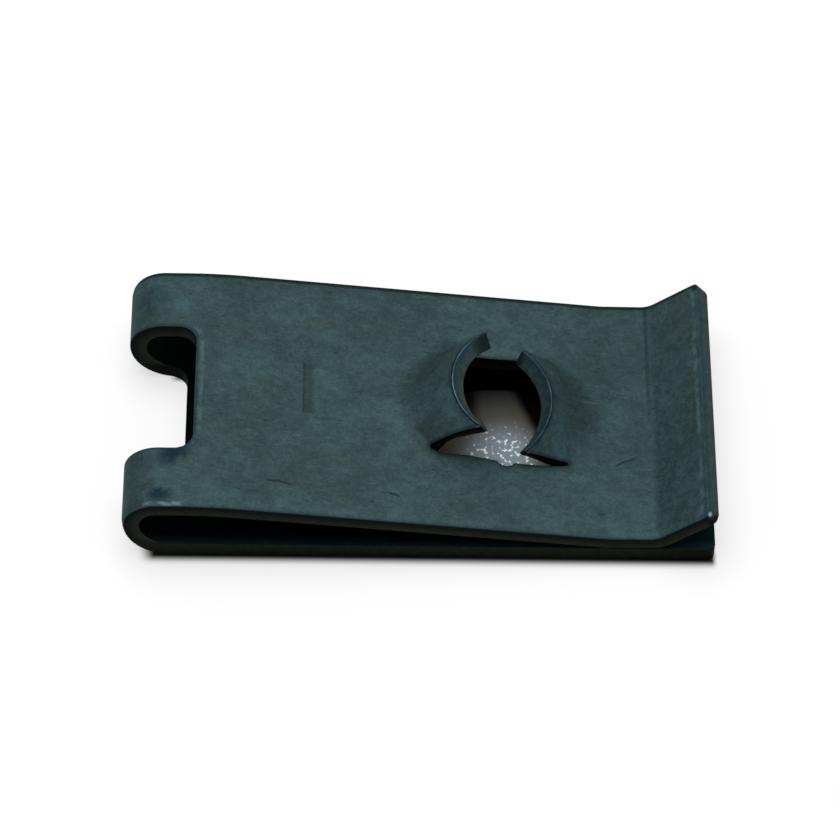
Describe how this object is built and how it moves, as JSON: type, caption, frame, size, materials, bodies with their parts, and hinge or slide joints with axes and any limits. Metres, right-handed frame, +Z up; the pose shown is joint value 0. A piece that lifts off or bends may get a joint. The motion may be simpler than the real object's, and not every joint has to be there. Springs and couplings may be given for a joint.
{
  "type": "u-shaped speed nut",
  "caption": "Folded spring steel clip that slides over a panel edge; two raised tongues in its upper leg take a screw that enters through a clearance hole in the lower leg.",
  "frame": {"origin": "on the screw axis, level with the underside of the lower leg", "axes": "+X runs from the fold towards the flared lip, +Y runs across the strip, +Z points up, the way the screw goes in"},
  "size_m": [0.0251, 0.0126, 0.0044],
  "materials": {
    "spring_steel": "dark blue-green phosphate and oil on spring steel, mottled and lightly scratched, satin; cut edges darker and browner"
  },
  "bodies": {
    "root": {"u_nut": "spring_steel"}
  },
  "joints": []
}
